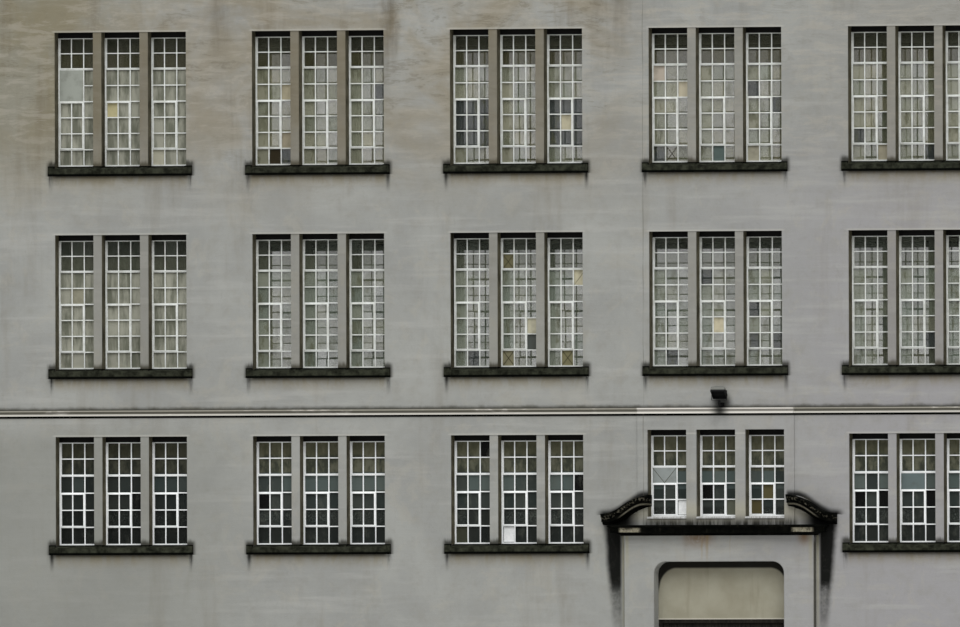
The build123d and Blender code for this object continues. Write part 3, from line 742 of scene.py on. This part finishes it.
# dark brown door paint, made near black as painted shade in the recess
door_paint_and_shade = painted_wood("door_paint_and_shade", (38, 35, 30), (16, 15, 13))
ironwork = weathered_metal("ironwork", (40, 38, 36), (24, 23, 22), 0.6)
lamp_paint = weathered_metal("lamp_paint", (26, 27, 28), (13, 13, 13), sky_lit_top=(118, 119, 114))
bracket_paint = weathered_metal("bracket_paint", (20, 21, 22), (10, 10, 10))
# painted shade: the floodlight's lens near black, as in shade
shaded_lens = weathered_metal("shaded_lens", (12, 13, 14), (7, 7, 8), 0.1)
paper = plain_paper()
sheet_finish = board_finish()
tape = tape_finish()


def dress(material, *names):
    """Gives CAD nodes a material in all their slots."""
    for name in names:
        slots = nodes[name].material_slots
        if not slots:
            nodes[name].data.materials.append(material)
        for entry in slots:
            entry.material = material


def dress_cad_nodes():
    dress(wall, "front_wall_bands", "front_wall_piers", "front_mullions", "back_wall_bands")
    dress(wall, "back_wall_piers", "back_mullions", "party_walls", "wall_over_entrance")
    dress(wall, "entrance_jambs", "entrance_head", "entrance_panel")
    dress(stone, "front_sills", "back_sills")
    dress(string, "front_string_course", "back_string_course")
    dress(moulding, "entrance_cornice", "pediment_left", "pediment_right")
    dress(coping_stone, "coping_front_and_back", "coping_ends")
    dress(slab_concrete, "entrance_floor", "ground_floor", "first_floor", "second_floor")
    dress(roof_felt, "roof_slab")
    dress(step_stone, "entrance_step")
    dress(paint, "front_window_frames_ground", "front_window_frames_first")
    dress(paint, "front_window_frames_second", "back_window_frames")
    dress(infill, "recess_infill")
    dress(white_timber, "entrance_sill_boards")
    dress(door_paint_and_shade, "door_posts", "door_top_rail", "door_left", "door_right")
    dress(ironwork, "door_hinges")
    dress(lamp_paint, "floodlight_housing")
    dress(bracket_paint, "floodlight_bracket")
    dress(shaded_lens, "floodlight_lens")


ROWS = {
    "ground": (ground_sill, ground_height, GROUND),
    "first": (first_sill, upper_height, UPPER),
    "second": (second_sill, upper_height, UPPER),
}
SIDES = ((-1, "front"), (1, "back"))
frames_y = {-1: front_y + frame_setback, 1: back_y - frame_setback}

# Faces of a box whose corners run through x, then y, then z
BOX_FACES = ((0, 1, 3, 2), (4, 6, 7, 5), (0, 4, 5, 1), (2, 3, 7, 6), (0, 2, 6, 4), (1, 5, 7, 3))


def light_starts(centre, width, mullion):
    span = 3 * width + 2 * mullion
    return [centre - span / 2 + i * (width + mullion) for i in range(3)]


def lights_of(side, row):
    """Lowest x, foot, width, height and bands of every light of one storey, by rising x."""
    sill, height, bands = row
    lights = []
    for bay, centre in enumerate(bays):
        if side < 0 and bay == entrance_bay and sill == ground_sill:
            starts = light_starts(entrance_x, entrance_light_width, entrance_mullion_width)
            size = (entrance_sill, entrance_light_width, entrance_height, ENTRANCE)
        else:
            starts = light_starts(centre, light_width, mullion_width)
            size = (sill, light_width, height, bands)
        lights += [(x, *size) for x in starts]
    return lights


def band_layout(width, height, bands):
    """Pane width and height, then each band's foot, top, rows, and if it is a casement or the top light."""
    pane_width = (width - 2 * frame_face - 2 * bar_face) / 3
    bars = sum(rows - 1 for rows, casement in bands)
    rows_in_all = sum(rows for rows, casement in bands)
    clear = height - frame_face - head_face - (len(bands) - 1) * transom_face - bars * bar_face
    pane_height = clear / rows_in_all
    z = frame_face
    placed = []
    for i, (rows, casement) in enumerate(bands):
        top = z + rows * pane_height + (rows - 1) * bar_face
        placed.append((z, top, rows, casement, i == len(bands) - 1))
        z = top + transom_face
    return pane_width, pane_height, placed


def add_box(bm, x0, x1, y0, y1, z0, z1):
    corners = [bm.verts.new((x, y, z)) for x in (x0, x1) for y in (y0, y1) for z in (z0, z1)]
    for quad in BOX_FACES:
        bm.faces.new([corners[i] for i in quad])


def add_sash(bm, left, right, low, top):
    """A sash frame that stands a little proud of the fixed frame."""
    add_box(bm, left, left + sash_face, -sash_proud, bar_back, low, top)
    add_box(bm, right - sash_face, right, -sash_proud, bar_back, low, top)
    add_box(bm, left + sash_face, right - sash_face, -sash_proud, bar_back, low, low + sash_face)
    add_box(bm, left + sash_face, right - sash_face, -sash_proud, bar_back, top - sash_face, top)


def light_bars(width, height, bands):
    """Glazing bars and sash frames of one light as a mesh, from its lower left corner, front at y 0."""
    bm = bmesh.new()
    pane_width, pane_height, placed = band_layout(width, height, bands)
    left = frame_face
    for low, top, rows, casement, top_light in placed:
        columns = 2 if casement else 3
        right = left + columns * pane_width + (columns - 1) * bar_face
        bar_feet = [low + i * (pane_height + bar_face) - bar_face for i in range(1, rows)]
        if casement:
            add_sash(bm, left, right, low, top)
            fixed = right + bar_face / 2 + post_face / 2
            for z in bar_feet:
                add_box(bm, fixed, width - frame_face, bar_front, bar_back, z, z + bar_face)
        if top_light:
            add_sash(bm, left, right, low, top)
        for i in range(1, columns):
            x = left + i * (pane_width + bar_face) - bar_face
            add_box(bm, x, x + bar_face, bar_front, bar_back, low, top)
        for z in bar_feet:
            add_box(bm, left, right, bar_front + 0.001, bar_back - 0.001, z, z + bar_face)
    bmesh.ops.recalc_face_normals(bm, faces=bm.faces)
    return as_mesh("light_bars", bm)


def as_mesh(name, bm):
    mesh = bpy.data.meshes.new(name)
    bm.to_mesh(mesh)
    bm.free()
    return mesh


def put_in_scene(name, data):
    made = bpy.data.objects.new(name, data)
    bpy.context.scene.collection.objects.link(made)
    return made


def repeat_at(name, template, points, material, turned):
    """Puts copies of a mesh at points by Geometry Nodes and returns them as one plain mesh object."""
    seed = bpy.data.meshes.new(name + "_points")
    seed.from_pydata(points, [], [])
    piece = put_in_scene(name, seed)
    source = put_in_scene(name + "_copy", template)
    tree = bpy.data.node_groups.new(name + "_rows", "GeometryNodeTree")
    keys = {}
    for label, kind in (
        ("Geometry", "Geometry"), ("Turn", "Float"), ("Copied piece", "Object"), ("Finish", "Material"),
    ):
        socket = tree.interface.new_socket(label, in_out="INPUT", socket_type="NodeSocket" + kind)
        keys[label] = socket.identifier
    tree.interface.new_socket("Geometry", in_out="OUTPUT", socket_type="NodeSocketGeometry")
    new = tree.nodes.new
    start = new("NodeGroupInput")
    end = new("NodeGroupOutput")
    info = new("GeometryNodeObjectInfo")
    place = new("GeometryNodeInstanceOnPoints")
    facing = new("ShaderNodeCombineXYZ")
    solid = new("GeometryNodeRealizeInstances")
    painted = new("GeometryNodeSetMaterial")
    for giver, output, taker, entry in (
        (start, "Geometry", place, "Points"),
        (start, "Copied piece", info, "Object"),
        (info, "Geometry", place, "Instance"),
        (start, "Turn", facing, "Z"),
        (facing, 0, place, "Rotation"),
        (place, 0, solid, 0),
        (solid, 0, painted, "Geometry"),
        (start, "Finish", painted, "Material"),
        (painted, 0, end, 0),
    ):
        tree.links.new(giver.outputs[output], taker.inputs[entry])
    modifier = piece.modifiers.new("rows", "NODES")
    modifier.node_group = tree
    modifier[keys["Turn"]] = math.pi if turned else 0.0
    modifier[keys["Copied piece"]] = source
    modifier[keys["Finish"]] = material
    shown = piece.evaluated_get(bpy.context.evaluated_depsgraph_get())
    mesh = bpy.data.meshes.new_from_object(shown)
    piece.modifiers.remove(modifier)
    piece.data = mesh
    bpy.data.objects.remove(source)
    if not mesh.materials:
        mesh.materials.append(material)
    return piece


def window_bars():
    """Glazing bars of every light, one piece a storey and side."""
    for side, side_name in SIDES:
        for row_name, row in ROWS.items():
            kinds = {}
            for x, z, width, height, bands in lights_of(side, row):
                corner = x if side < 0 else x + width
                kinds.setdefault((width, height, tuple(bands)), []).append((corner, frames_y[side], z))
            for (width, height, bands), points in kinds.items():
                name = f"{side_name}_bars_{row_name}" + ("_entrance" if width != light_width else "")
                piece = repeat_at(name, light_bars(width, height, bands), points, paint, side > 0)
                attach(piece, "building")


def add_pane(bm, layer, side, across, up, values):
    """One pane as a thin slab, leaning very slightly in its putty."""
    y = frames_y[side] - side * transom_depth
    lean = pane_lean * values[0]
    corners = []
    for x in across:
        for depth in (pane_front, pane_back):
            for z in up:
                shift = lean if z == up[1] else 0.0
                corners.append(bm.verts.new((x, y - side * (depth + shift), z)))
    for quad in BOX_FACES:
        made = bm.faces.new([corners[i] for i in (quad if side < 0 else quad[::-1])])
        for loop in made.loops:
            loop[layer] = values


def add_light_panes(bm, layer, dice, side, light, sooty_casement):
    """The panes of one light, from the sill up; each reaches under the bars round it."""
    x, z, width, height, bands = light
    pane_width, pane_height, placed = band_layout(width, height, bands)
    for low, top, rows, casement, top_light in placed:
        for i in range(rows):
            for j in range(3):
                left = frame_face + j * (pane_width + bar_face) - (bar_face / 2 if j else 0)
                right = left + pane_width + bar_face * (1.0 if j == 1 else 0.5)
                bottom = low + i * (pane_height + bar_face) - (bar_face / 2 if i else transom_face / 2)
                upper = min(bottom + pane_height + bar_face, height - head_face)
                bottom = max(bottom, frame_face)
                pick, dust, tint = dice.random(), dice.random(), dice.random()
                if sooty_casement and casement:
                    pick = dark_pick / 2
                values = (pick, dust, tint, 0.0 if j == 0 and side < 0 else 1.0)
                add_pane(bm, layer, side, (x + left, x + right), (z + bottom, z + upper), values)


# Storey, bay and light of the casements with the darkest glass
SOOTY_CASEMENTS = {("second", 2, 0), ("second", 2, 2)}


def glass_panes():
    """Single panes behind the bars, each with its own random dirt, one piece a storey and side."""
    dice = random.Random(7)
    for side, side_name in SIDES:
        for row_name, row in ROWS.items():
            bm = bmesh.new()
            layer = bm.loops.layers.float_color.new("pane")
            for number, light in enumerate(lights_of(side, row)):
                sooty = side < 0 and (row_name, number // 3, number % 3) in SOOTY_CASEMENTS
                add_light_panes(bm, layer, dice, side, light, sooty)
            name = f"{side_name}_panes_{row_name}"
            piece = put_in_scene(name, as_mesh(name, bm))
            piece.data.materials.append(ground_glass if row_name == "ground" else upper_glass)
            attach(piece, "building")
            if side < 0:
                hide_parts(f"front_window_glass_{row_name}")
            elif row_name == "ground":
                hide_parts("back_window_glass")


# Panes of another colour: bay, light, band from the sill, row in that band, column and the colour
# on screen; for a sheet over several panes, first and last row or column
ODD_PANES = {
    "second": [
        (0, 0, 2, (0, 1), (0, 1), (150, 154, 146)), (0, 1, 1, 2, 0, (178, 170, 132)),
        (0, 2, 0, 0, 0, (172, 170, 152)), (1, 0, 1, 0, 2, (150, 142, 122)),
        (1, 0, 0, 0, 1, (44, 38, 24)), (2, 2, 1, 1, 1, (176, 170, 146)),
        (3, 0, 2, 1, 0, (176, 166, 152)), (3, 0, 2, 0, 2, (186, 178, 156)),
        (3, 1, 0, 0, 1, (84, 98, 94)), (3, 2, 0, 0, 0, (160, 156, 138)),
        (4, 0, 0, 0, 2, (158, 152, 132)), (1, 0, 2, 0, 2, (166, 158, 134)),
    ],
    "first": [
        (2, 2, 2, 1, 2, (190, 184, 158)), (2, 1, 1, 1, 2, (186, 182, 160)),
        (3, 1, 1, 1, 1, (190, 182, 156)), (2, 1, 3, 0, 0, (106, 102, 76)),
        (2, 1, 0, 0, 0, (128, 124, 98)), (2, 2, 0, 0, 1, (122, 118, 88)),
        (2, 1, 1, 0, 2, (78, 82, 78)), (0, 0, 2, 0, 1, (140, 138, 120)),
    ],
    "ground": [
        (2, 0, 0, 0, 0, (58, 60, 48)), (4, 1, 2, 0, (0, 1), (96, 108, 108)),
        (3, 2, 0, 0, 0, (74, 68, 42)), (3, 2, 0, 1, 1, (82, 76, 50)),
        (3, 1, 0, 0, 2, (92, 94, 82)), (3, 0, 1, 0, (0, 1), (146, 152, 150)),
    ],
}

# Storey, bay, light, band, row and column, and of papers the share of the pane that they cover
PAPERS = [("ground", 3, 0, 0, 0, 2, 0.92), ("ground", 2, 1, 0, 0, 0, 0.90)]
CROSSED_PANES = [
    ("first", 2, 1, 3, 0, 0), ("first", 2, 1, 0, 0, 0), ("first", 2, 2, 0, 0, 1), ("second", 3, 0, 0, 0, 1),
]

# Where the sheets, papers and tapes in front of the glass stand; a sheet wider than one pane is
# on the outer face of the bars
glass_y = front_y + frame_setback + transom_depth
sheet_thick = 0.003
wide_sheet_forward = 0.040
paper_y = glass_y - 0.0045
tape_y = glass_y - 0.0055
tape_on_board_y = glass_y - 0.0465
cross_width, board_tape_width, slant_width = 0.014, 0.010, 0.008
tape_thick = 0.001


def pane_edges(row_name, bay, light, band, rows, columns):
    """Left, right, bottom and top of one pane, or of several in one sheet, in the front wall."""
    x, z, width, height, bands = lights_of(-1, ROWS[row_name])[bay * 3 + light]
    pane_width, pane_height, placed = band_layout(width, height, bands)
    first_row, last_row = rows if isinstance(rows, tuple) else (rows, rows)
    first_column, last_column = columns if isinstance(columns, tuple) else (columns, columns)
    left = x + frame_face + first_column * (pane_width + bar_face)
    right = x + frame_face + last_column * (pane_width + bar_face) + pane_width
    lowest = z + placed[band][0]
    bottom = lowest + first_row * (pane_height + bar_face)
    return left, right, bottom, lowest + last_row * (pane_height + bar_face) + pane_height


def as_piece(name, bm, material):
    bmesh.ops.recalc_face_normals(bm, faces=bm.faces)
    piece = put_in_scene(name, as_mesh(name, bm))
    piece.data.materials.append(material)
    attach(piece, "building")


def odd_panes():
    """Replaced and boarded panes, each a thin sheet just in front of the old glass."""
    bm = bmesh.new()
    layer = bm.loops.layers.float_color.new("sheet")
    for row_name, sheets in ODD_PANES.items():
        for *where, columns, colour in sheets:
            x0, x1, z0, z1 = pane_edges(row_name, *where, columns)
            start = len(bm.faces)
            y = glass_y - (wide_sheet_forward if isinstance(columns, tuple) else 0.0)
            add_box(bm, x0, x1, y - sheet_thick, y, z0, z1)
            bm.faces.ensure_lookup_table()
            for face in bm.faces[start:]:
                for loop in face.loops:
                    loop[layer] = (*tone(*colour), 1)
    as_piece("odd_panes", bm, sheet_finish)


def window_papers():
    bm = bmesh.new()
    for *where, share in PAPERS:
        x0, x1, z0, z1 = pane_edges(*where)
        margin = (x1 - x0) * (1 - share) / 2
        add_box(bm, x0 + margin, x1 - margin, paper_y, paper_y + 0.001, z0 + margin, z1 - margin)
    as_piece("window_papers", bm, paper)


def pane_tape():
    """Tapes: crosses on four panes, two that meet at the foot of one board, and one slanting strip."""
    bm = bmesh.new()
    for where in CROSSED_PANES:
        x0, x1, z0, z1 = pane_edges(*where)
        add_strip(bm, (x0, z0), (x1, z1), tape_y, cross_width)
        add_strip(bm, (x0, z1), (x1, z0), tape_y, cross_width)
    x0, x1, z0, z1 = pane_edges("ground", 3, 0, 1, 0, (0, 1))
    for top in (x0, x1):
        add_strip(bm, (top, z1), ((x0 + x1) / 2, z0), tape_on_board_y, board_tape_width)
    x0, x1, z0, z1 = pane_edges("first", 2, 2, 2, 1, 2)
    add_strip(bm, (x0, z0), (x1, z1), tape_y, slant_width)
    as_piece("pane_tape", bm, tape)


def add_strip(bm, start, end, y, width):
    """A flat strip from one (x, z) point to another."""
    run = Vector((end[0] - start[0], 0, end[1] - start[1])).normalized()
    side = Vector((-run.z, 0, run.x)) * width / 2
    points = []
    for depth in (0.0, tape_thick):
        for base, sign in ((start, 1), (start, -1), (end, -1), (end, 1)):
            points.append(bm.verts.new(Vector((base[0], y + depth, base[1])) + side * sign))
    for quad in ((0, 1, 2, 3), (7, 6, 5, 4), (0, 4, 5, 1), (1, 5, 6, 2), (2, 6, 7, 3), (3, 7, 4, 0)):
        bm.faces.new([points[i] for i in quad])


def plain_stage():
    """Pale floor round the building."""
    mesh = bpy.data.meshes.new("floor")
    reach = 400.0
    corners = [(-reach, -reach, 0), (reach, -reach, 0), (reach, reach, 0), (-reach, reach, 0)]
    mesh.from_pydata(corners, [], [(0, 1, 2, 3)])
    net = Net("pale_floor", (225, 225, 222))
    net.bump(net.noise(0.5, 3), 0.01, 0.1)
    mesh.materials.append(net.finish(0.9))
    put_in_scene("floor", mesh)


sky_strength = 0.40
sun_strength = 2.5
sun_spread = math.radians(50)
sun_turn = (math.radians(38), 0, math.radians(14))


def daylight():
    """Soft overcast light from above and in front, with a white background."""
    world = bpy.data.worlds.new("overcast")
    bpy.context.scene.world = world
    world.use_nodes = True
    tree = world.node_tree
    tree.nodes.clear()
    new, link = tree.nodes.new, tree.links.new
    out = new("ShaderNodeOutputWorld")
    sky, seen = new("ShaderNodeBackground"), new("ShaderNodeBackground")
    for white, strength in ((sky, sky_strength), (seen, 1.0)):
        white.inputs["Color"].default_value = (1, 1, 1, 1)
        white.inputs["Strength"].default_value = strength
    path = new("ShaderNodeLightPath")
    to_eye = path.outputs["Is Camera Ray"]
    for ray in ("Is Transmission Ray", "Is Glossy Ray"):
        either = new("ShaderNodeMath")
        either.operation = "MAXIMUM"
        link(to_eye, either.inputs[0])
        link(path.outputs[ray], either.inputs[1])
        to_eye = either.outputs[0]
    mix = new("ShaderNodeMixShader")
    link(to_eye, mix.inputs[0])
    link(sky.outputs[0], mix.inputs[1])
    link(seen.outputs[0], mix.inputs[2])
    link(mix.outputs[0], out.inputs[0])
    lamp = bpy.data.lights.new("sky_light", "SUN")
    lamp.energy = sun_strength
    lamp.angle = sun_spread
    put_in_scene("sky_light", lamp).rotation_euler = sun_turn


# The photograph's view: from far off, low down and to the right
view_azimuth = math.radians(14.4)
view_rise = math.radians(0.61)
view_roll = math.radians(-0.17)
view_distance = 600.0
view_target = Vector((-0.793, front_y, 8.572))
focal_pixels = 28592.1
picture_width = 960.0
sensor_width = 36.0


def camera():
    data = bpy.data.cameras.new("camera")
    data.sensor_fit = "HORIZONTAL"
    data.sensor_width = sensor_width
    data.lens = focal_pixels / picture_width * sensor_width
    data.clip_start = 1.0
    data.clip_end = 4000.0
    holder = put_in_scene("camera", data)
    ahead = Vector((
        -math.sin(view_azimuth) * math.cos(view_rise),
        math.cos(view_azimuth) * math.cos(view_rise),
        math.sin(view_rise),
    ))
    holder.location = view_target - view_distance * ahead
    turn = ahead.to_track_quat("-Z", "Y").to_matrix() @ Matrix.Rotation(view_roll, 3, "Z")
    holder.rotation_euler = turn.to_euler()
    bpy.context.scene.camera = holder


dress_cad_nodes()
window_bars()
glass_panes()
odd_panes()
window_papers()
pane_tape()
plain_stage()
daylight()
camera()
bpy.context.scene.view_settings.view_transform = "Standard"
